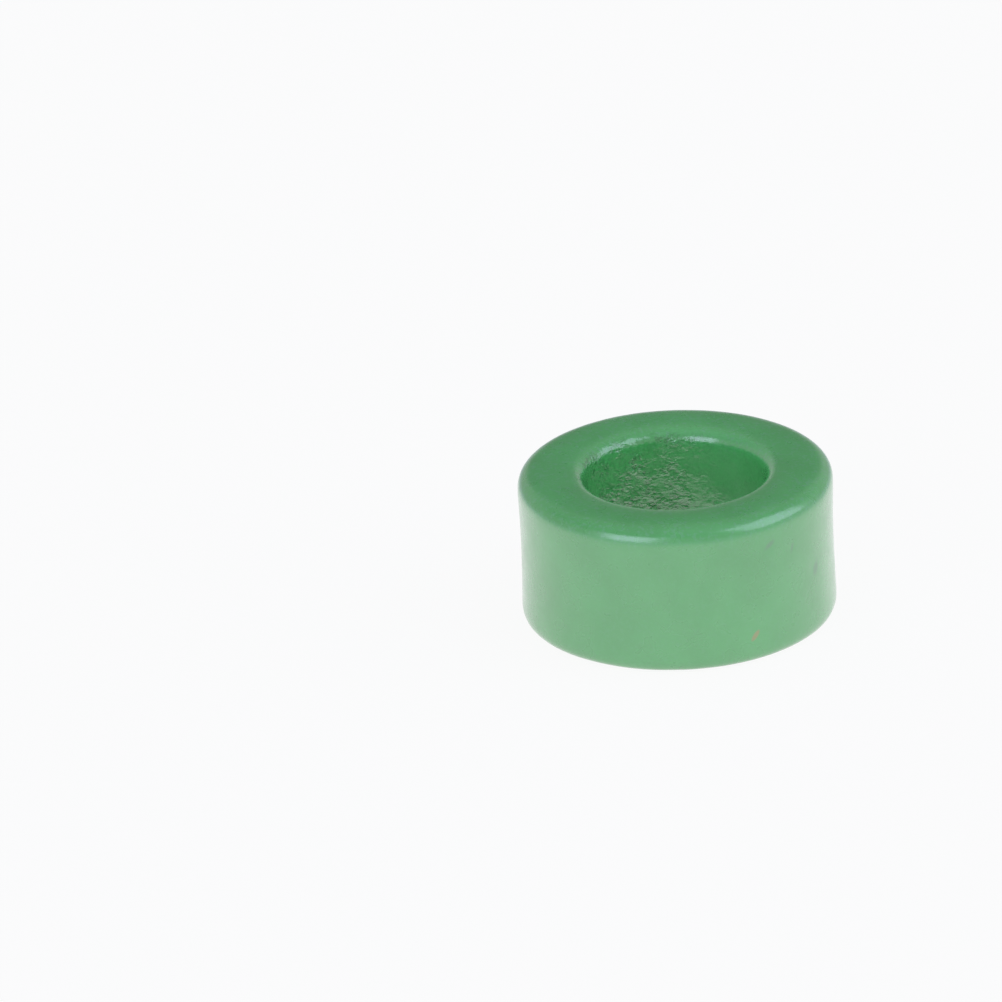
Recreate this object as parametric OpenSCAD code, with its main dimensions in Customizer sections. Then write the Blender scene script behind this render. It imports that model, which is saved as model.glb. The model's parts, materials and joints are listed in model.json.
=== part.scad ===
// Toroid ferrite core: a pressed and sintered ring with a thin coat, in one piece.
// The ring lies flat. Its axis is Z, and the origin is the centre of its bottom face. Sizes are in millimetres.

/* [Ring] */
// Outside diameter, at the widest part of the wall
outer_d = 10.2; // [8:0.1:14]
// Diameter of the hole
bore_d = 5.85; // [4:0.05:6.4]
// Height along the axis
height = 5.0; // [3:0.1:8]

/* [Edges] */
// Rounding of the two outer edges
outer_edge_r = 0.45; // [0.2:0.05:1]
// Rounding of the two edges of the hole
bore_edge_r = 0.45; // [0.2:0.05:1]
// How far the outer wall draws in at mid-height, because the middle of a pressed ring shrinks most in the kiln
waist = 0.05; // [0.02:0.01:0.12]

/* [Hidden] */

COAT_GREEN = "#559A62";

// How finely each round shape is drawn
RING_STEPS = 180;
EDGE_STEPS = 96;
WAIST_STEPS = 1440;

outer_r = outer_d / 2;
bore_r = bore_d / 2;
wall = outer_r - bore_r;

// A rounding takes less than half of the wall or of the height, so that a flat is left between two of them
EDGE_SHARE = 0.45;
edge_limit = EDGE_SHARE * min(wall, height);
outer_edge = min(outer_edge_r, edge_limit);
bore_edge = min(bore_edge_r, edge_limit);

// The waist is one long arc that runs smoothly into both outer roundings
half_span = height / 2 - outer_edge;
centre_gap = (pow(half_span, 2) + pow(waist, 2)) / (2 * waist);
waist_r = centre_gap - outer_edge;

// Where the arc meets a rounding, as a share of the line between their centres
meet_share = outer_edge / centre_gap;
meet_r = outer_r - outer_edge + meet_share * (centre_gap - waist);
meet_z = outer_edge + meet_share * half_span;

// The two round corners of one side of the section, whose centres lie at this radius
module corner_pair(centre_r, edge_r) {
    for (centre_z = [edge_r, height - edge_r])
        translate([centre_r, centre_z])
            circle(r = edge_r, $fn = EDGE_STEPS);
}

// An upright strip of the section, which starts and ends this far from the two faces
module strip(from_r, to_r, inset) {
    translate([from_r, inset])
        square([to_r - from_r, height - 2 * inset]);
}

// Half of the ring's cross-section, with the axis at x = 0
module ring_section() {
    middle_r = bore_r + wall / 2;
    difference() {
        union() {
            strip(bore_r + bore_edge, outer_r - outer_edge, 0);
            strip(bore_r, middle_r, bore_edge);
            strip(middle_r, meet_r, meet_z);
            corner_pair(bore_r + bore_edge, bore_edge);
            corner_pair(outer_r - outer_edge, outer_edge);
        }
        translate([outer_r - waist + waist_r, height / 2])
            circle(r = waist_r, $fn = WAIST_STEPS);
    }
}

module toroid_core() {
    color(COAT_GREEN)
        rotate_extrude($fn = RING_STEPS)
            ring_section();
}

toroid_core();
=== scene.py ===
"""Dresses and lights a toroid ferrite core: one sintered ring in a green epoxy coat.

The ring is swept from its rounded section by a Geometry Nodes tree, which also lays the coat's unevenness
on it. The coat's finish is a procedural material. The studio is a table with a white top in a dim room,
with two soft boxes and a fill lamp overhead.
"""

import json
import logging
import math
from dataclasses import dataclass
from enum import Enum

import bpy
from mathutils import Matrix, Vector


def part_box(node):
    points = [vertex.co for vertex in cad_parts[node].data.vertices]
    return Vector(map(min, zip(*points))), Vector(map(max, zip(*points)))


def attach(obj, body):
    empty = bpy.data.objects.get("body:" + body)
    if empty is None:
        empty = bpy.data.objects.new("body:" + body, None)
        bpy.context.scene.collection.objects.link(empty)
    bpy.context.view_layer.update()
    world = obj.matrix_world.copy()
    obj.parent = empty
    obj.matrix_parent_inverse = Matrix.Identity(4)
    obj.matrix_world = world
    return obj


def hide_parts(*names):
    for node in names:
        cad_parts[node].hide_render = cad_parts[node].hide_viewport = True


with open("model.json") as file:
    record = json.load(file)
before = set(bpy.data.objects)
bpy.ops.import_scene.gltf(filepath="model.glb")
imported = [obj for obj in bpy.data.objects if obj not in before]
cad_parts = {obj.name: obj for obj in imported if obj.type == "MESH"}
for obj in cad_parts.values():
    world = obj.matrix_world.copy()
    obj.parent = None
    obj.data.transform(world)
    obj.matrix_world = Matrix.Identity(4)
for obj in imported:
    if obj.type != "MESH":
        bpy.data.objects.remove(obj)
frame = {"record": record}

log = logging.getLogger("toroid_core")

MM = 0.001  # one millimetre in metres, the unit of every Blender object
FRAME_PX = 1002  # width and height of the picture
NODE = "toroid_core"
PIECE = "coated_core"
BODY = "root"

NOISE_MIDDLE = 0.5  # the level that a noise node's pattern stays near
NOISE_SPAN = (0.3, 0.7)  # the levels between which nearly all of it lies

# Settings that several nodes share
TIMES = {"operation": "MULTIPLY"}
TIMES_PLUS = {"operation": "MULTIPLY_ADD"}
PLUS = {"operation": "ADD"}
MINUS = {"operation": "SUBTRACT"}
LEAST = {"operation": "MINIMUM"}
MOST = {"operation": "MAXIMUM"}
LENGTH = {"operation": "LENGTH"}
DOT = {"operation": "DOT_PRODUCT"}
SOFT = {"interpolation_type": "SMOOTHSTEP"}

Colour = tuple[float, float, float, float]
Tree = bpy.types.NodeTree
Node = bpy.types.Node
Source = bpy.types.NodeSocket | bpy.types.Node  # what feeds an input: an output, or a node's first one


class Slot(Enum):
    """The record's material slots."""

    GREEN_COAT = "green_coat"


class Side(Enum):
    """Where a lamp stands, as seen from the camera."""

    LEFT = "left"
    RIGHT = "right"
    ABOVE = "above"


def linear(hex_colour: str) -> Colour:
    """Turns an sRGB hex colour into linear numbers.

    Args:
        hex_colour: The colour as "#RRGGBB".

    Returns:
        Red, green and blue in linear light, and an alpha of 1.
    """
    parts = (int(hex_colour[i : i + 2], 16) / 255 for i in (1, 3, 5))
    # The sRGB standard's own curve
    return (*(c / 12.92 if c <= 0.04045 else ((c + 0.055) / 1.055) ** 2.4 for c in parts), 1.0)


def add(
    tree: Tree, kind: str, *values: object, settings: dict[str, object] | None = None, **named: object
) -> Node:
    """Adds a node with its settings and links.

    Args:
        tree: The tree that gets the node.
        kind: Blender's name for the node, such as "ShaderNodeTexNoise".
        *values: What its first inputs get, in their order: a number, an output, or a node for its first
            output.
        settings: The node's own attributes by name.
        **named: What its other inputs get, by their names with _ for a space.

    Returns:
        The new node. Inputs and outputs that its settings switch off are passed over.
    """
    node = tree.nodes.new(kind)
    for name, value in (settings or {}).items():
        setattr(node, name, value)
    sockets = [socket for socket in node.inputs if socket.enabled]
    by_name = {socket.name.replace(" ", "_"): socket for socket in reversed(sockets)}
    others = [(by_name[name], value) for name, value in named.items()]
    for socket, value in [*zip(sockets, values), *others]:
        if isinstance(value, Node):
            value = next(output for output in value.outputs if output.enabled)
        if isinstance(value, bpy.types.NodeSocket):
            tree.links.new(value, socket)
        else:
            socket.default_value = value
    return node


@dataclass(frozen=True)
class Relief:
    """A random unevenness of the coat's surface.

    Attributes:
        size: How far apart its swells are, in mm.
        seed: Picks one of many patterns of the same kind.
        depth: How high its pattern stands from lowest to highest, in mm. It is 0 where the pattern only
            mixes colours or strengths.
        detail: How many finer copies of the pattern are laid over it.
        along: How many times longer a swell is round the ring than up its wall.
    """

    size: float
    seed: float
    depth: float = 0.0
    detail: float = 1.0
    along: float = 1.0

    def noise(self, tree: Tree, place: Source) -> Node:
        """Draws the pattern.

        Args:
            tree: The tree that gets the nodes, of geometry or of a material.
            place: Each point's place on the core, in metres.

        Returns:
            The node whose first output runs from 0 to 1, and stays near 0.5.
        """
        stretch = (1.0, 1.0, self.along)
        spot = add(tree, "ShaderNodeVectorMath", place, stretch, settings=TIMES)
        how = {"W": self.seed, "Scale": 1 / (self.size * MM), "Detail": self.detail}
        return add(tree, "ShaderNodeTexNoise", spot, settings={"noise_dimensions": "4D"}, **how)


@dataclass(frozen=True)
class Spot:
    """A small place on the outer wall.

    Attributes:
        azimuth: Where it lies round the ring, in degrees, 0 at the front and positive to the right.
        height: How high its middle lies, in mm.
        length: Its length, in mm.
        width: Its width, in mm.
        lean: How far its length leans to the right of upright, in degrees.
    """

    azimuth: float
    height: float
    length: float
    width: float
    lean: float = 0.0

    def centre(self, radius: float) -> Vector:
        """Finds its middle.

        Args:
            radius: Radius of the wall, in mm.

        Returns:
            Its middle, in metres, with z = 0 at the ring's base.
        """
        around = math.radians(self.azimuth)
        return Vector((math.sin(around) * radius, -math.cos(around) * radius, self.height)) * MM

    def within(self, tree: Tree, place: Source, radius: float) -> Node:
        """Finds how far inside its oval each point lies.

        Args:
            tree: The material's tree.
            place: Each point's place on the core, in metres.
            radius: Radius of the wall, in mm.

        Returns:
            The node whose first output is 1 at its middle, and 0 at its outline and beyond.
        """
        around, lean = math.radians(self.azimuth), math.radians(self.lean)
        turn = Matrix.Rotation(around, 3, "Z") @ Matrix.Rotation(lean, 3, "Y")
        # It reaches a whole width into the wall, so that the wall's curve doesn't clip it
        reach = Vector((self.width / 2, self.width, self.length / 2)) * MM
        own = {"Location": self.centre(radius), "Rotation": turn.to_euler(), "Scale": reach}
        spot = add(tree, "ShaderNodeMapping", place, settings={"vector_type": "TEXTURE"}, **own)
        return add(tree, "ShaderNodeTexGradient", spot, settings={"gradient_type": "SPHERICAL"})


@dataclass
class ToroidCore:
    """The coated ferrite ring, as one closed mesh.

    Attributes:
        outer_r: Outside radius, in mm.
        bore_r: Radius of the hole, in mm.
        height: Height along the axis, in mm.
        bore_edge: Rounding of the hole's two edges, in mm.
        outer_edge: Rounding of the two outer edges, in mm.
        waist: How far the outer wall draws in at mid-height, in mm.
        steps_round: Faces round the ring.
        steps_section: Faces round the section.
        steps_corner: Points on each rounding before the section is evened out.
        steps_ease: How many times the section's points are eased towards their neighbours, which lets the
            roundings run into the flats without a line, as a coat does.
        edge_shares: Radii that the hole's and the outer roundings are drawn with, as shares of what they
            look like once they are eased.
        crown: How far the upper face falls from its middle to the wall and to the hole before the section
            is eased, in mm, because a coat draws back from edges.
        proud: How far the middle of that face is raised before the section is eased, in mm.
        swell: The coat's slow change of thickness.
        peel: The orange peel of the outside.
        ripple: The coarser peel in the hole, where the coat drew out into ridges round the wall.
        patches: Where the hole's wall is rougher and where it is calmer.
        patch_levels: Levels of that pattern at which the wall is calmest and roughest.
        patch_shares: Strengths of the pebbling there.
        knocks: Shallow round dents in the outer wall, from the rings tumbling against each other.
        knock_depth: How deep such a dent is, in mm.
        hole_ends: How far from the hole's wall its own look begins and is full, as shares of its rounding.
        smooth_side: The vector from the base's centre along which the hole's wall gets smoother.
        smooth_ends: Where along it the pebbling starts to fade and is down to its trace, in radii of the
            hole.
        smooth_trace: How much of the pebbling is left there.
    """

    outer_r: float
    bore_r: float
    height: float
    bore_edge: float
    outer_edge: float = 0.45
    waist: float = 0.05
    steps_round: int = 448
    steps_section: int = 220
    steps_corner: int = 24
    steps_ease: int = 10
    edge_shares: tuple[float, float] = (0.64, 0.80)
    crown: float = 0.11
    proud: float = 0.045
    swell: Relief = Relief(size=1.7, seed=4.0, depth=0.022)
    peel: Relief = Relief(size=0.5, seed=11.0, depth=0.005)
    ripple: Relief = Relief(size=0.25, seed=23.0, depth=0.06, detail=1.5, along=1.3)
    patches: Relief = Relief(size=0.8, seed=29.0, detail=1.5)
    patch_levels: tuple[float, float] = (0.38, 0.6)
    patch_shares: tuple[float, float] = (0.4, 1.3)
    knocks: tuple[Spot, ...] = (
        Spot(azimuth=34.5, height=3.9, length=0.5, width=0.5),
        Spot(azimuth=45.0, height=3.6, length=0.4, width=0.4),
        Spot(azimuth=58.0, height=2.5, length=0.8, width=0.8),
        Spot(azimuth=-14.0, height=2.2, length=0.7, width=0.7),
        Spot(azimuth=150.0, height=3.1, length=0.6, width=0.6),
        Spot(azimuth=-120.0, height=1.6, length=0.7, width=0.7),
    )
    knock_depth: float = 0.012
    hole_ends: tuple[float, float] = (1.0, 0.1)
    smooth_side: tuple[float, float, float] = (0.90, 0.25, 0.10)
    smooth_ends: tuple[float, float] = (0.1, 0.95)
    smooth_trace: float = 0.12

    @classmethod
    def from_frame(cls) -> "ToroidCore":
        """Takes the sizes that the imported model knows.

        Returns:
            A core whose outside, height and hole are the model's own.
        """
        low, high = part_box(NODE)
        bore = next(m for m in frame["record"]["mounts"] if m["name"] == "bore")["dims"]
        height = (high.z - low.z) / MM
        return cls(
            outer_r=max(high.x, high.y) / MM,
            bore_r=bore["r_mm"],
            height=height,
            bore_edge=(height - bore["length_mm"]) / 2,
        )

    def lengths(self) -> dict[str, float]:
        """Gives the tree's named lengths.

        Returns:
            Each length in mm. The section's own middle lies at the path's radius, and the waist is one long
            arc that runs smoothly into both outer roundings.
        """
        path = (self.outer_r + self.bore_r) / 2
        half_span = self.height / 2 - self.outer_edge
        waist_r = (half_span**2 + self.waist**2) / (2 * self.waist) - self.outer_edge
        return {
            "Wall": self.outer_r - self.bore_r,
            "Height": self.height,
            "Path Radius": path,
            "Bore Edge": self.bore_edge * self.edge_shares[0],
            "Outer Edge": self.outer_edge * self.edge_shares[1],
            "Waist Radius": waist_r,
            "Waist Centre": self.outer_r - self.waist + waist_r - path,
            "Swell Depth": self.swell.depth,
            "Peel Depth": self.peel.depth,
            "Ripple Depth": self.ripple.depth,
        }

    def section(self, tree: Tree, given: bpy.types.NodeOutputs) -> Node:
        """Draws the rounded and waisted section, with its middle at x = 0 and y = 0.

        Args:
            tree: The tree that gets the nodes.
            given: The tree's inputs.

        Returns:
            The node whose first output is the section as a closed curve.
        """
        point = add(tree, "GeometryNodeInputPosition")
        place = add(tree, "ShaderNodeSeparateXYZ", point).outputs
        outside = add(tree, "ShaderNodeMath", place["X"], 0.0, settings={"operation": "GREATER_THAN"})
        edge = add(tree, "ShaderNodeMix", outside, A=given["Bore Edge"], B=given["Outer Edge"])
        sides = {"Width": given["Wall"], "Height": given["Height"]}
        blank = add(tree, "GeometryNodeCurvePrimitiveQuadrilateral", **sides)
        corners = {"Radius": edge, "Count": self.steps_corner}
        rounded = add(tree, "GeometryNodeFilletCurve", blank, settings={"mode": "POLY"}, **corners)
        steps = given["Steps Section"]
        even = add(tree, "GeometryNodeResampleCurve", rounded, settings={"mode": "COUNT"}, Count=steps)
        radius = given["Waist Radius"]
        radius_2 = add(tree, "ShaderNodeMath", radius, radius, settings=TIMES)
        up_2 = add(tree, "ShaderNodeMath", place["Y"], place["Y"], settings=TIMES)
        reach_2 = add(tree, "ShaderNodeMath", radius_2, up_2, settings=MINUS)
        reach = add(tree, "ShaderNodeMath", reach_2, settings={"operation": "SQRT"})
        arc = add(tree, "ShaderNodeMath", given["Waist Centre"], reach, settings=MINUS)
        drawn_in = add(tree, "ShaderNodeMath", place["X"], arc, settings=LEAST)
        across = add(tree, "ShaderNodeMath", place["X"], given["Wall"], settings={"operation": "DIVIDE"})
        across_2 = add(tree, "ShaderNodeMath", across, across, settings=TIMES)
        # The upper half of the section stretches by proud in its middle, and by crown less at its two ends
        # across the wall. The half with negative Y is swept to the top.
        half_height, end = self.height / 2, 0.5
        fall, lift = -self.crown / half_height / end**2, self.proud / half_height
        stretch = add(tree, "ShaderNodeMath", across_2, fall, lift, settings=TIMES_PLUS)
        upper = add(tree, "ShaderNodeMath", place["Y"], 0.0, settings=LEAST)
        crowned = add(tree, "ShaderNodeMath", upper, stretch, place["Y"], settings=TIMES_PLUS)
        spot = add(tree, "ShaderNodeCombineXYZ", drawn_in, crowned)
        waisted = add(tree, "GeometryNodeSetPosition", even, Position=spot)
        vector = {"data_type": "FLOAT_VECTOR"}
        eased = add(tree, "GeometryNodeBlurAttribute", point, given["Steps Ease"], 1.0, settings=vector)
        return add(tree, "GeometryNodeSetPosition", waisted, Position=eased)

    def in_hole(self, tree: Tree, place: Source) -> Node:
        """Finds what lies in the hole, by its distance from the axis.

        Args:
            tree: The tree that gets the nodes, of geometry or of a material.
            place: Each point's place on the core, in metres.

        Returns:
            The node whose first output is 1 on the wall of the hole, and fades to 0 over its rounded edge.
        """
        flat = add(tree, "ShaderNodeVectorMath", place, (1.0, 1.0, 0.0), settings=TIMES)
        reach = add(tree, "ShaderNodeVectorMath", flat, settings=LENGTH)
        edge, wall = ((self.bore_r + share * self.bore_edge) * MM for share in self.hole_ends)
        return add(tree, "ShaderNodeMapRange", reach, edge, wall, 0.0, 1.0, settings=SOFT)

    def drained(self, tree: Tree, place: Source) -> Node:
        """Finds where the wet coat drained from the hole's wall and left it pebbled.

        Args:
            tree: The tree that gets the nodes, of geometry or of a material.
            place: Each point's place on the core, in metres.

        Returns:
            The node whose first output is 1 where the wall is pebbled, and falls to a trace where the coat
            ran together and lies smooth.
        """
        towards = Vector(self.smooth_side) / (self.bore_r * MM)
        far = add(tree, "ShaderNodeVectorMath", place, towards, settings=DOT)
        ends = (*self.smooth_ends, 1.0, self.smooth_trace)
        return add(tree, "ShaderNodeMapRange", far, *ends, settings=SOFT)

    def pebbled(self, tree: Tree, place: Source) -> Node:
        """Finds how strongly the hole's wall is pebbled: in patches, where the coat drained.

        Args:
            tree: The tree that gets the nodes, of geometry or of a material.
            place: Each point's place on the core, in metres.

        Returns:
            The node whose first output is the strength, about 1 in a rough patch. It fades soon over the
            hole's rounded edge, where the coat pulls itself smooth.
        """
        ends = (*self.patch_levels, *self.patch_shares)
        share = add(tree, "ShaderNodeMapRange", self.patches.noise(tree, place), *ends, settings=SOFT)
        hole = self.in_hole(tree, place)
        # The hole counts twice, so that the pebbling ends before the hole's colour does
        for less in (self.drained(tree, place), hole, hole):
            share = add(tree, "ShaderNodeMath", share, less, settings=TIMES)
        return share

    def coat_offset(self, tree: Tree, given: bpy.types.NodeOutputs) -> Node:
        """Works out how far each point lies from the nominal surface.

        Args:
            tree: The tree that gets the nodes.
            given: The tree's inputs.

        Returns:
            The node whose first output is the offset. On the outside it always goes into the ring, so that
            the wall stays inside the model's outline.
        """
        base = (0.0, 0.0, self.height / 2 * MM)
        point = add(tree, "GeometryNodeInputPosition")
        place = add(tree, "ShaderNodeVectorMath", point, base, settings=PLUS)
        outside = add(tree, "ShaderNodeMath", self.in_hole(tree, place), -1.0, 1.0, settings=TIMES_PLUS)
        swell, peel, ripple = (r.noise(tree, place) for r in (self.swell, self.peel, self.ripple))
        total = add(tree, "ShaderNodeMath", swell, given["Swell Depth"], settings=TIMES)
        peel = add(tree, "ShaderNodeMath", peel, given["Peel Depth"], settings=TIMES)
        total = add(tree, "ShaderNodeMath", peel, outside, total, settings=TIMES_PLUS)
        ripple = add(tree, "ShaderNodeMath", ripple, NOISE_MIDDLE, settings=MINUS)
        ripple = add(tree, "ShaderNodeMath", ripple, given["Ripple Depth"], settings=TIMES)
        pebbled = self.pebbled(tree, place)
        total = add(tree, "ShaderNodeMath", ripple, pebbled, total, settings=TIMES_PLUS)
        for knock in self.knocks:
            middle = knock.centre(self.outer_r)
            away = add(tree, "ShaderNodeVectorMath", place, middle, settings={"operation": "DISTANCE"})
            ends = (knock.length / 2 * MM, 0.0, 0.0, self.knock_depth * MM)
            dent = add(tree, "ShaderNodeMapRange", away, *ends, settings=SOFT)
            total = add(tree, "ShaderNodeMath", total, dent, settings=PLUS)
        inward = add(tree, "ShaderNodeMath", total, -1.0, settings=TIMES)
        normal = add(tree, "GeometryNodeInputNormal")
        return add(tree, "ShaderNodeVectorMath", normal, Scale=inward, settings={"operation": "SCALE"})

    def tree(self, coat: bpy.types.Material) -> Tree:
        """Builds the tree that sweeps the section into the ring and lays the coat on it.

        Args:
            coat: The material that the whole ring wears.

        Returns:
            The Geometry Nodes tree, with its sizes as named inputs.
        """
        tree = bpy.data.node_groups.new("coated_ring", "GeometryNodeTree")
        for name, length in self.lengths().items():
            socket = tree.interface.new_socket(name, in_out="INPUT", socket_type="NodeSocketFloat")
            socket.default_value = length * MM
        counts = {"Round": self.steps_round, "Section": self.steps_section, "Ease": self.steps_ease}
        for name, count in counts.items():
            socket = tree.interface.new_socket(f"Steps {name}", in_out="INPUT", socket_type="NodeSocketInt")
            socket.default_value = count
        tree.interface.new_socket("Ring", in_out="OUTPUT", socket_type="NodeSocketGeometry")
        given = add(tree, "NodeGroupInput").outputs
        round_path = {"Resolution": given["Steps Round"], "Radius": given["Path Radius"]}
        path = add(tree, "GeometryNodeCurvePrimitiveCircle", **round_path)
        swept = add(tree, "GeometryNodeCurveToMesh", path, self.section(tree, given))
        laid = add(tree, "GeometryNodeSetPosition", swept, Offset=self.coat_offset(tree, given))
        half_height = add(tree, "ShaderNodeMath", given["Height"], 0.5, settings=TIMES)
        lift = add(tree, "ShaderNodeCombineXYZ", 0.0, 0.0, half_height)
        stood = add(tree, "GeometryNodeTransform", laid, Translation=lift)
        smooth = add(tree, "GeometryNodeSetShadeSmooth", stood)
        real = add(tree, "GeometryNodeRealizeInstances", smooth)
        add(tree, "NodeGroupOutput", add(tree, "GeometryNodeSetMaterial", real, Material=coat))
        return tree

    def build(self, coat: bpy.types.Material) -> bpy.types.Object:
        """Makes the ring, dressed, in place of the model's plain node.

        Args:
            coat: The material that the whole ring wears.

        Returns:
            The finished piece.
        """
        blank = bpy.data.objects.new("blank", bpy.data.meshes.new("blank"))
        bpy.context.collection.objects.link(blank)
        sweep = blank.modifiers.new("coated_ring", "NODES")
        sweep.node_group = self.tree(coat)
        for item in sweep.node_group.interface.items_tree:
            if item.in_out == "INPUT":
                sweep[item.identifier] = item.default_value
        mesh = bpy.data.meshes.new_from_object(blank.evaluated_get(bpy.context.evaluated_depsgraph_get()))
        mesh.name = PIECE
        blank.modifiers.remove(sweep)
        bpy.data.objects.remove(blank)
        core = bpy.data.objects.new(PIECE, mesh)
        bpy.context.collection.objects.link(core)
        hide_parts(NODE)
        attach(core, BODY)
        return core


@dataclass(frozen=True)
class EpoxyCoat:
    """Epoxy powder coat, sprayed on and baked. It gives the eye a satin green with fine orange peel.

    Attributes:
        green: The coat's body colour where it is thin. Under the skin it shows darker than written.
        deep_green: The body colour where it is thick.
        pebble_shade_green: Painted shade in the hole: a darker green in the hollows of the pebbling, on its
            pebbled side, where less light falls.
        pebble_shade_levels: Levels of the pebble's pattern at which pebble_shade_green shows most and least.
        pebble_shade_shares: How much of that painted shade shows there.
        lit_hole_green: Painted light: a lighter green in the hole, strongest on its smooth side, where more
            light falls.
        lit_hole_shares: How much of that painted light shows in the hole where the wall is smooth, and where
            it is pebbled.
        roughness: Blur of the pigmented film, from its glossiest patches to its dullest.
        coat_roughness: Blur of the clear skin over it.
        ior: Index of the film and of its clear skin, set above the 1.55 or so of cured epoxy for a
            stronger sheen.
        mottle: The slow change of colour.
        peel: The finest orange peel, which is drawn as bump. The real one is about half as wide, too fine
            to show.
        pebble: The grainy skin in the hole.
        rub: Where handling has dulled the skin.
        glint_dots: Painted glints: pale dots of painted highlight, lying mostly on the top. A real glint is
            about half as wide, too fine to show.
        glint_dot_levels: Levels of that pattern at which a painted glint begins and is full.
        glint_dot_shares: How much a full painted glint shows on the wall and on the top.
        glint_dot_pale: The painted glints' colour.
        gloss_inside: How much of the roughness is left in the hole, which nothing rubs.
        dent_shades: Painted shade at dents in the wall: grey marks, broken up by the rub's pattern, that
            stand in for the dents showing darker.
        dent_shade_levels: Levels of such a mark times that pattern at which it begins and is full.
        dent_shade_share: How much a full mark of painted shade shows.
        dent_shade_grey: The painted shade's colour.
        fleck: A crumb of tan grit, baked into the coat.
        fleck_rim: How far in from its outline it shows in full, as a share of the way to its middle.
        fleck_share: How much it shows.
        fleck_tan: Its colour.
    """

    green: str = "#60C96F"
    deep_green: str = "#58BE66"
    # Painted shade in the hole: a darker green in the pebbling's hollows and on its pebbled side
    pebble_shade_green: str = "#3F8F4D"
    pebble_shade_levels: tuple[float, float] = (0.35, 0.6)
    pebble_shade_shares: tuple[float, float] = (0.75, 0.1)
    # Painted light in the hole: a lighter green, strongest on its smooth side
    lit_hole_green: str = "#68D47E"
    lit_hole_shares: tuple[float, float] = (0.8, 0.2)
    roughness: tuple[float, float] = (0.24, 0.36)
    coat_roughness: float = 0.2
    ior: float = 1.8
    mottle: Relief = Relief(size=1.3, seed=31.0, detail=3.0)
    peel: Relief = Relief(size=0.14, seed=37.0, depth=0.006, detail=1.5)
    pebble: Relief = Relief(size=0.12, seed=41.0, depth=0.038, detail=2.5, along=1.4)
    rub: Relief = Relief(size=0.6, seed=43.0, detail=2.0)
    # Painted glints: pale dots of painted highlight, mostly on the top
    glint_dots: Relief = Relief(size=0.11, seed=47.0)
    glint_dot_levels: tuple[float, float] = (0.5, 0.68)
    glint_dot_shares: tuple[float, float] = (0.1, 0.45)
    glint_dot_pale: str = "#7CC694"
    gloss_inside: float = 0.55
    # Painted shade at dents in the wall: grey marks where the dents show darker
    dent_shades: tuple[Spot, ...] = (
        Spot(azimuth=34.5, height=4.0, length=0.8, width=0.35, lean=55.0),
        Spot(azimuth=45.5, height=3.6, length=0.8, width=0.25, lean=15.0),
        Spot(azimuth=60.0, height=2.4, length=1.0, width=0.5, lean=20.0),
        Spot(azimuth=-148.0, height=2.9, length=0.9, width=0.4, lean=-40.0),
    )
    dent_shade_levels: tuple[float, float] = (0.1, 0.45)
    dent_shade_share: float = 0.5
    dent_shade_grey: str = "#6C9576"
    fleck: Spot = Spot(azimuth=27.2, height=1.0, length=0.50, width=0.20, lean=42.0)
    fleck_rim: float = 0.35
    fleck_share: float = 0.9
    fleck_tan: str = "#B0AA68"

    def colour(self, tree: Tree, place: Source, core: ToroidCore) -> Node:
        """Mixes the coat's colour: its mottling, the fleck, and painted light, painted shade and painted
        glints.

        Args:
            tree: The material's tree.
            place: Each point's place on the core, in metres.
            core: The ring that wears the coat.

        Returns:
            The node whose first output is the colour.
        """
        thick = add(tree, "ShaderNodeMapRange", self.mottle.noise(tree, place), *NOISE_SPAN, 0.0, 1.0)
        body = add(tree, "ShaderNodeMixRGB", thick, linear(self.green), linear(self.deep_green))
        # Painted light: a lighter green in the hole, strongest on its smooth side, where more light falls
        full = add(tree, "ShaderNodeMapRange", core.drained(tree, place), 0.0, 1.0, *self.lit_hole_shares)
        full = add(tree, "ShaderNodeMath", full, core.in_hole(tree, place), settings=TIMES)
        body = add(tree, "ShaderNodeMixRGB", full, body, linear(self.lit_hole_green))
        # Painted shade: a darker green in the pebbling's hollows, on the hole's pebbled side
        ends = (*self.pebble_shade_levels, *self.pebble_shade_shares)
        pebble_shade = add(tree, "ShaderNodeMapRange", self.pebble.noise(tree, place), *ends, settings=SOFT)
        pebble_shade = add(tree, "ShaderNodeMath", pebble_shade, core.pebbled(tree, place), settings=TIMES)
        body = add(tree, "ShaderNodeMixRGB", pebble_shade, body, linear(self.pebble_shade_green))
        # Painted highlight: pale dots for glints, many more on the top than on the wall
        level = add(tree, "ShaderNodeSeparateXYZ", place).outputs["Z"]
        ends = ((core.height - 2 * core.outer_edge) * MM, core.height * MM, *self.glint_dot_shares)
        ends = (*self.glint_dot_levels, 0.0, add(tree, "ShaderNodeMapRange", level, *ends, settings=SOFT))
        glint_mix = add(tree, "ShaderNodeMapRange", self.glint_dots.noise(tree, place), *ends, settings=SOFT)
        body = add(tree, "ShaderNodeMixRGB", glint_mix, body, linear(self.glint_dot_pale))
        # Painted shade: grey marks at dents in the wall, where the dents show darker
        for dent_shade in self.dent_shades:
            within = dent_shade.within(tree, place, core.outer_r)
            broken = add(tree, "ShaderNodeMath", within, self.rub.noise(tree, place), settings=TIMES)
            ends = (*self.dent_shade_levels, 0.0, self.dent_shade_share)
            share = add(tree, "ShaderNodeMapRange", broken, *ends, settings=SOFT)
            body = add(tree, "ShaderNodeMixRGB", share, body, linear(self.dent_shade_grey))
        within = self.fleck.within(tree, place, core.outer_r)
        share = add(tree, "ShaderNodeMapRange", within, 0.0, self.fleck_rim, 0.0, self.fleck_share)
        return add(tree, "ShaderNodeMixRGB", share, body, linear(self.fleck_tan))

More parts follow.
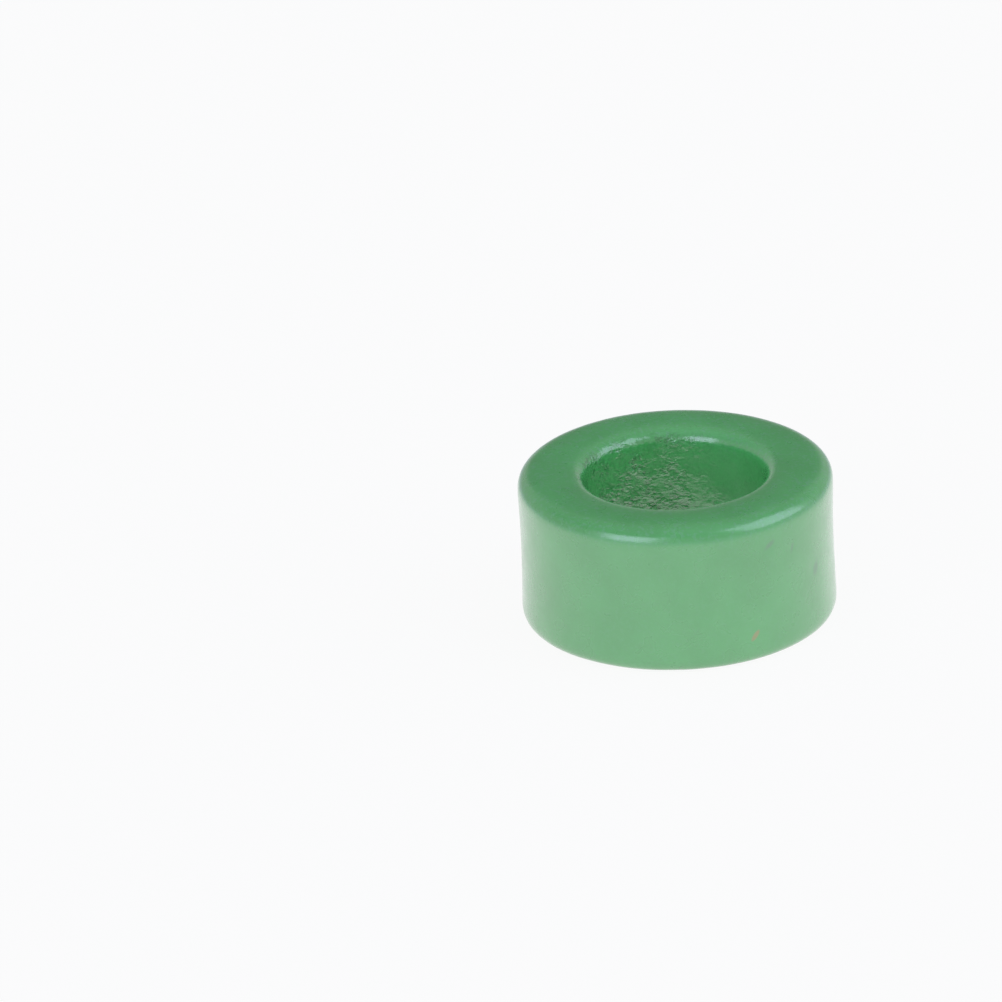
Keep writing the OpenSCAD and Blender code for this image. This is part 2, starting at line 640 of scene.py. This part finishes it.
    def height(self, tree: Tree, place: Source, core: ToroidCore) -> Node:
        """Adds up the relief that is too fine for the mesh.

        Args:
            tree: The material's tree.
            place: Each point's place on the core, in metres.
            core: The ring that wears the coat.

        Returns:
            The node whose first output is the height, in metres.
        """
        peel, pebble = (
            add(tree, "ShaderNodeMath", relief.noise(tree, place), relief.depth * MM, settings=TIMES)
            for relief in (self.peel, self.pebble)
        )
        return add(tree, "ShaderNodeMath", pebble, core.pebbled(tree, place), peel, settings=TIMES_PLUS)

    def material(self, core: ToroidCore) -> bpy.types.Material:
        """Builds the coat's material.

        Args:
            core: The ring that wears the coat.

        Returns:
            The new material.
        """
        coat = bpy.data.materials.new("epoxy_powder_coat")
        coat.use_nodes = True
        tree = coat.node_tree
        tree.nodes.clear()
        place = add(tree, "ShaderNodeTexCoord").outputs["Object"]
        rubbed = add(tree, "ShaderNodeMapRange", self.rub.noise(tree, place), *NOISE_SPAN, *self.roughness)
        kept = add(tree, "ShaderNodeMapRange", core.in_hole(tree, place), 0.0, 1.0, 1.0, self.gloss_inside)
        dull = add(tree, "ShaderNodeMath", rubbed, kept, settings=TIMES)
        height = self.height(tree, place, core)
        bump = add(tree, "ShaderNodeBump", Strength=1.0, Distance=1.0, Height=height)
        shader = add(
            tree,
            "ShaderNodeBsdfPrincipled",
            Base_Color=self.colour(tree, place, core),
            Roughness=dull,
            IOR=self.ior,
            Normal=bump,
            Coat_Weight=1.0,
            Coat_Roughness=self.coat_roughness,
            Coat_IOR=self.ior,
            Coat_Normal=bump,
        )
        add(tree, "ShaderNodeOutputMaterial", shader)
        return coat


@dataclass(frozen=True)
class SoftBox:
    """A rectangular lamp face, which shines at the core: a soft box, or a fill lamp that isn't mirrored.

    Attributes:
        side: Where it stands.
        azimuth: Its direction from the core, in degrees, 0 towards the camera and positive to the right.
        elevation: Its height over the table, in degrees.
        spread: The angle that its width takes up, seen from the core, in degrees.
        rise: The angle that its height takes up, in degrees.
        radiance: How bright its face is, where 1 is white.
        mirrored: Whether its face shows in the coat. A fill lamp only lights the coat evenly.
        colour: The colour of its light.
        distance: How far it stands from the core, in metres.
    """

    side: Side
    azimuth: float
    elevation: float
    spread: float
    rise: float
    radiance: float
    mirrored: bool = True
    colour: str = "#D7E2FF"
    distance: float = 0.5

    def build(self) -> bpy.types.Object:
        """Sets up the lamp.

        Returns:
            The lamp's object.
        """
        lamp = bpy.data.lights.new(f"soft_box_{self.side.value}", "AREA")
        lamp.shape = "RECTANGLE"
        lamp.size = 2 * self.distance * math.tan(math.radians(self.spread / 2))
        lamp.size_y = 2 * self.distance * math.tan(math.radians(self.rise / 2))
        lamp.energy = self.radiance * math.pi * lamp.size * lamp.size_y  # the whole face's watts
        lamp.color = linear(self.colour)[:3]
        around, up = math.radians(self.azimuth), math.radians(self.elevation)
        towards = Vector((math.sin(around) * math.cos(up), -math.cos(around) * math.cos(up), math.sin(up)))
        box = bpy.data.objects.new(lamp.name, lamp)
        box.location = towards * self.distance
        box.rotation_euler = towards.to_track_quat("Z", "Y").to_euler()
        box.visible_camera = False
        box.visible_glossy = self.mirrored
        bpy.context.collection.objects.link(box)
        return box


@dataclass
class Studio:
    """A table with a white top in a dim room, with two soft boxes and a fill lamp overhead.

    Attributes:
        table_reach: How far the table goes from the core each way, in metres.
        table_drop: How far the table lies below the core, in metres, so that no two faces share a plane.
        boxes: The soft boxes and the fill lamp.
        sky: The room's light, as pairs of the sine of the elevation and the brightness there.
        doorway: The dark gap in the room's light behind the table: the elevation of its middle, the angle
            from there within which it is darkest, and the angle at which it ends, in degrees.
        doorway_share: How much of the room's light is left in it.
        sheet_white: The colour of the table's top where it is lit.
        sheet_glow: How much of what the lens sees of it is an even white of its own. The rest is lit by the
            lamps, and holds the core's faint shadow.
        sheet_fade: How far from the core's axis it starts to dim in the coat's mirror image, and where it
            is dimmest, in mm.
        sheet_share: How much of its own white is left there.
    """

    table_reach: float = 1.5
    table_drop: float = 2e-6
    boxes: tuple[SoftBox, ...] = (
        SoftBox(Side.LEFT, azimuth=-35.5, elevation=20, spread=37, rise=37, radiance=1.68),
        SoftBox(Side.RIGHT, azimuth=78, elevation=35, spread=50, rise=50, radiance=1.28),
        SoftBox(Side.ABOVE, azimuth=0, elevation=90, spread=60, rise=60, radiance=0.70, mirrored=False),
    )
    sky: tuple[tuple[float, float], ...] = (
        (0.0, 0.44), (0.10, 0.40), (0.24, 0.38), (0.41, 0.37), (0.59, 0.25), (0.77, 0.23), (1.0, 0.26),
    )
    doorway: tuple[float, float, float] = (21.0, 6.0, 20.0)
    doorway_share: float = 0.3
    sheet_white: str = "#ECECEC"
    sheet_glow: float = 0.93
    sheet_fade: tuple[float, float] = (12.0, 36.0)
    sheet_share: float = 0.15

    def table(self) -> bpy.types.Object:
        """Lays the table.

        Returns:
            The table's object.
        """
        r, z = self.table_reach, -self.table_drop
        mesh = bpy.data.meshes.new("table")
        mesh.from_pydata([(-r, -r, z), (r, -r, z), (r, r, z), (-r, r, z)], [], [(0, 1, 2, 3)])
        mesh.materials.append(self.table_material())
        top = bpy.data.objects.new("table", mesh)
        bpy.context.collection.objects.link(top)
        return top

    def table_material(self) -> bpy.types.Material:
        """White acrylic sheet. It gives the eye a plain white, with the faintest shadow under the core.

        Returns:
            The new material.
        """
        sheet = bpy.data.materials.new("white_acrylic_sheet")
        sheet.use_nodes = True
        tree = sheet.node_tree
        tree.nodes.clear()
        seen = add(tree, "ShaderNodeLightPath").outputs
        spot = add(tree, "ShaderNodeTexCoord").outputs["Object"]
        away = add(tree, "ShaderNodeVectorMath", spot, settings=LENGTH)
        near, far = (reach * MM for reach in self.sheet_fade)
        left = add(tree, "ShaderNodeMapRange", away, near, far, 1.0, self.sheet_share, settings=SOFT)
        mirrored = add(tree, "ShaderNodeMath", seen["Is Glossy Ray"], left, settings=TIMES)
        straight = add(tree, "ShaderNodeMath", seen["Is Camera Ray"], mirrored, settings=MOST)
        straight = add(tree, "ShaderNodeMath", straight, seen["Is Transmission Ray"], settings=MOST)
        share = add(tree, "ShaderNodeMath", straight, self.sheet_glow, settings=TIMES)
        lit = add(tree, "ShaderNodeBsdfDiffuse", linear(self.sheet_white))
        white = add(tree, "ShaderNodeEmission", (1.0, 1.0, 1.0, 1.0), 1.0)
        add(tree, "ShaderNodeOutputMaterial", add(tree, "ShaderNodeMixShader", share, lit, white))
        return sheet

    def room(self) -> None:
        """Sets the room's light: palest at table height, dimmer above, with a dark gap behind the table."""
        world = bpy.data.worlds.new("room")
        world.use_nodes = True
        tree = world.node_tree
        tree.nodes.clear()
        towards = add(tree, "ShaderNodeTexCoord").outputs["Generated"]
        ramp = add(tree, "ShaderNodeValToRGB", add(tree, "ShaderNodeSeparateXYZ", towards).outputs["Z"])
        stops = ramp.color_ramp.elements
        stops.remove(stops[1])
        for i, (at, level) in enumerate(self.sky):
            stop = stops.new(at) if i else stops[0]
            stop.position = at
            stop.color = (level, level, level, 1.0)
        up, dark, end = (math.radians(angle) for angle in self.doorway)
        middle = (0.0, math.cos(up), math.sin(up))
        near = add(tree, "ShaderNodeVectorMath", towards, middle, settings=DOT)
        fade = (math.cos(end), math.cos(dark), 1.0, self.doorway_share)
        share = add(tree, "ShaderNodeMapRange", near, *fade, settings=SOFT)
        add(tree, "ShaderNodeOutputWorld", add(tree, "ShaderNodeBackground", ramp, share))
        bpy.context.scene.world = world

    def build(self) -> None:
        """Sets up the table, the room and the lamps."""
        self.table()
        self.room()
        for box in self.boxes:
            log.info("lamp %s", box.build().name)


@dataclass(frozen=True)
class ProductCamera:
    """A long lens, looking down at the core from the front.

    Attributes:
        focal_px: Focal length, in pixels of the picture.
        px_per_mm: Pixels to a millimetre at the core's base.
        elevation: How far the lens looks down, in degrees.
        roll: How far the camera is turned about its lens, in degrees.
        base_px: Where the centre of the core's base shows in the picture, from its upper left corner.
        clip_near: How close to the lens the view begins, in metres.
    """

    focal_px: float = 12400.0
    px_per_mm: float = 30.95
    elevation: float = 23.8
    roll: float = -2.54
    base_px: tuple[float, float] = (679.96, 609.28)
    clip_near: float = 0.01

    def build(self) -> bpy.types.Object:
        """Sets up the scene's camera.

        Returns:
            The camera's object.
        """
        data = bpy.data.cameras.new("product_camera")
        data.sensor_fit = "HORIZONTAL"
        data.lens = self.focal_px / FRAME_PX * data.sensor_width
        data.clip_start = self.clip_near
        camera = bpy.data.objects.new("product_camera", data)
        bpy.context.collection.objects.link(camera)
        depth = self.focal_px / self.px_per_mm * MM
        across = (self.base_px[0] - FRAME_PX / 2) / self.focal_px * depth
        down = (self.base_px[1] - FRAME_PX / 2) / self.focal_px * depth
        tilt = Matrix.Rotation(math.radians(90 - self.elevation), 3, "X")
        turn = tilt @ Matrix.Rotation(math.radians(self.roll), 3, "Z")
        camera.rotation_mode = "QUATERNION"
        camera.rotation_quaternion = turn.to_quaternion()
        camera.location = turn @ Vector((-across, down, depth))
        bpy.context.scene.camera = camera
        return camera


def main() -> None:
    """Builds the core, the studio and the camera, and notes the lamps and how many faces the core has."""
    logging.basicConfig(level=logging.INFO, format="%(name)s: %(message)s")
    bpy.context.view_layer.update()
    ProductCamera().build()
    ring = ToroidCore.from_frame()
    core = ring.build(EpoxyCoat().material(ring))
    log.info("piece %s: %d faces", core.name, len(core.data.polygons))
    Studio().build()
    bpy.context.scene.view_settings.view_transform = "Standard"


if __name__ == "__main__":
    main()
